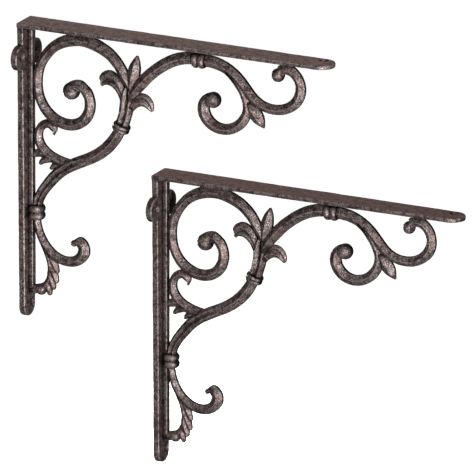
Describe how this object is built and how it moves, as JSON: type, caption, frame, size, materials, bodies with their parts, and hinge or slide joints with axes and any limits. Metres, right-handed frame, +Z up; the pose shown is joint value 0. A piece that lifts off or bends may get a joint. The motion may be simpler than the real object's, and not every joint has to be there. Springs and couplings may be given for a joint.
{
  "type": "shelf brackets",
  "caption": "Scrolled cast-iron shelf brackets, each with a flat shelf arm, a wall strap with screw lugs, scrolls and leaf ornament.",
  "frame": {"origin": "on the wall plane, midway between the two ear screws of the upper bracket", "axes": "+X out of the wall along the arms, +Y along the wall from the upper to the lower bracket, +Z up"},
  "size_m": [0.292, 0.2966, 0.462],
  "materials": {
    "cast_iron": "rust-brown painted sand casting, satin, with a fine grain"
  },
  "bodies": {
    "root": {"upper_arm": "cast_iron", "upper_left_ear": "cast_iron", "upper_right_ear": "cast_iron", "upper_wall_strap": "cast_iron", "upper_trunk_collar": "cast_iron", "upper_wall_collar": "cast_iron", "upper_arm_collar": "cast_iron", "upper_wall_rib": "cast_iron", "upper_arm_rib": "cast_iron", "upper_trunk": "cast_iron", "upper_stem": "cast_iron", "upper_main_scroll": "cast_iron", "upper_branch": "cast_iron", "upper_end_scroll": "cast_iron", "upper_drop_scroll": "cast_iron", "upper_crown_bud": "cast_iron", "upper_left_crown_leaf": "cast_iron", "upper_right_crown_leaf": "cast_iron", "upper_fork_bud": "cast_iron", "upper_wall_leaf": "cast_iron", "upper_foot_hook": "cast_iron", "upper_foot_leaf": "cast_iron", "lower_arm": "cast_iron", "lower_left_ear": "cast_iron", "lower_right_ear": "cast_iron", "lower_wall_strap": "cast_iron", "lower_trunk_collar": "cast_iron", "lower_wall_collar": "cast_iron", "lower_arm_collar": "cast_iron", "lower_wall_rib": "cast_iron", "lower_arm_rib": "cast_iron", "lower_trunk": "cast_iron", "lower_stem": "cast_iron", "lower_main_scroll": "cast_iron", "lower_branch": "cast_iron", "lower_end_scroll": "cast_iron", "lower_drop_scroll": "cast_iron", "lower_crown_bud": "cast_iron", "lower_left_crown_leaf": "cast_iron", "lower_right_crown_leaf": "cast_iron", "lower_fork_bud": "cast_iron", "lower_wall_leaf": "cast_iron", "lower_foot_hook": "cast_iron", "lower_foot_leaf": "cast_iron"}
  },
  "joints": []
}
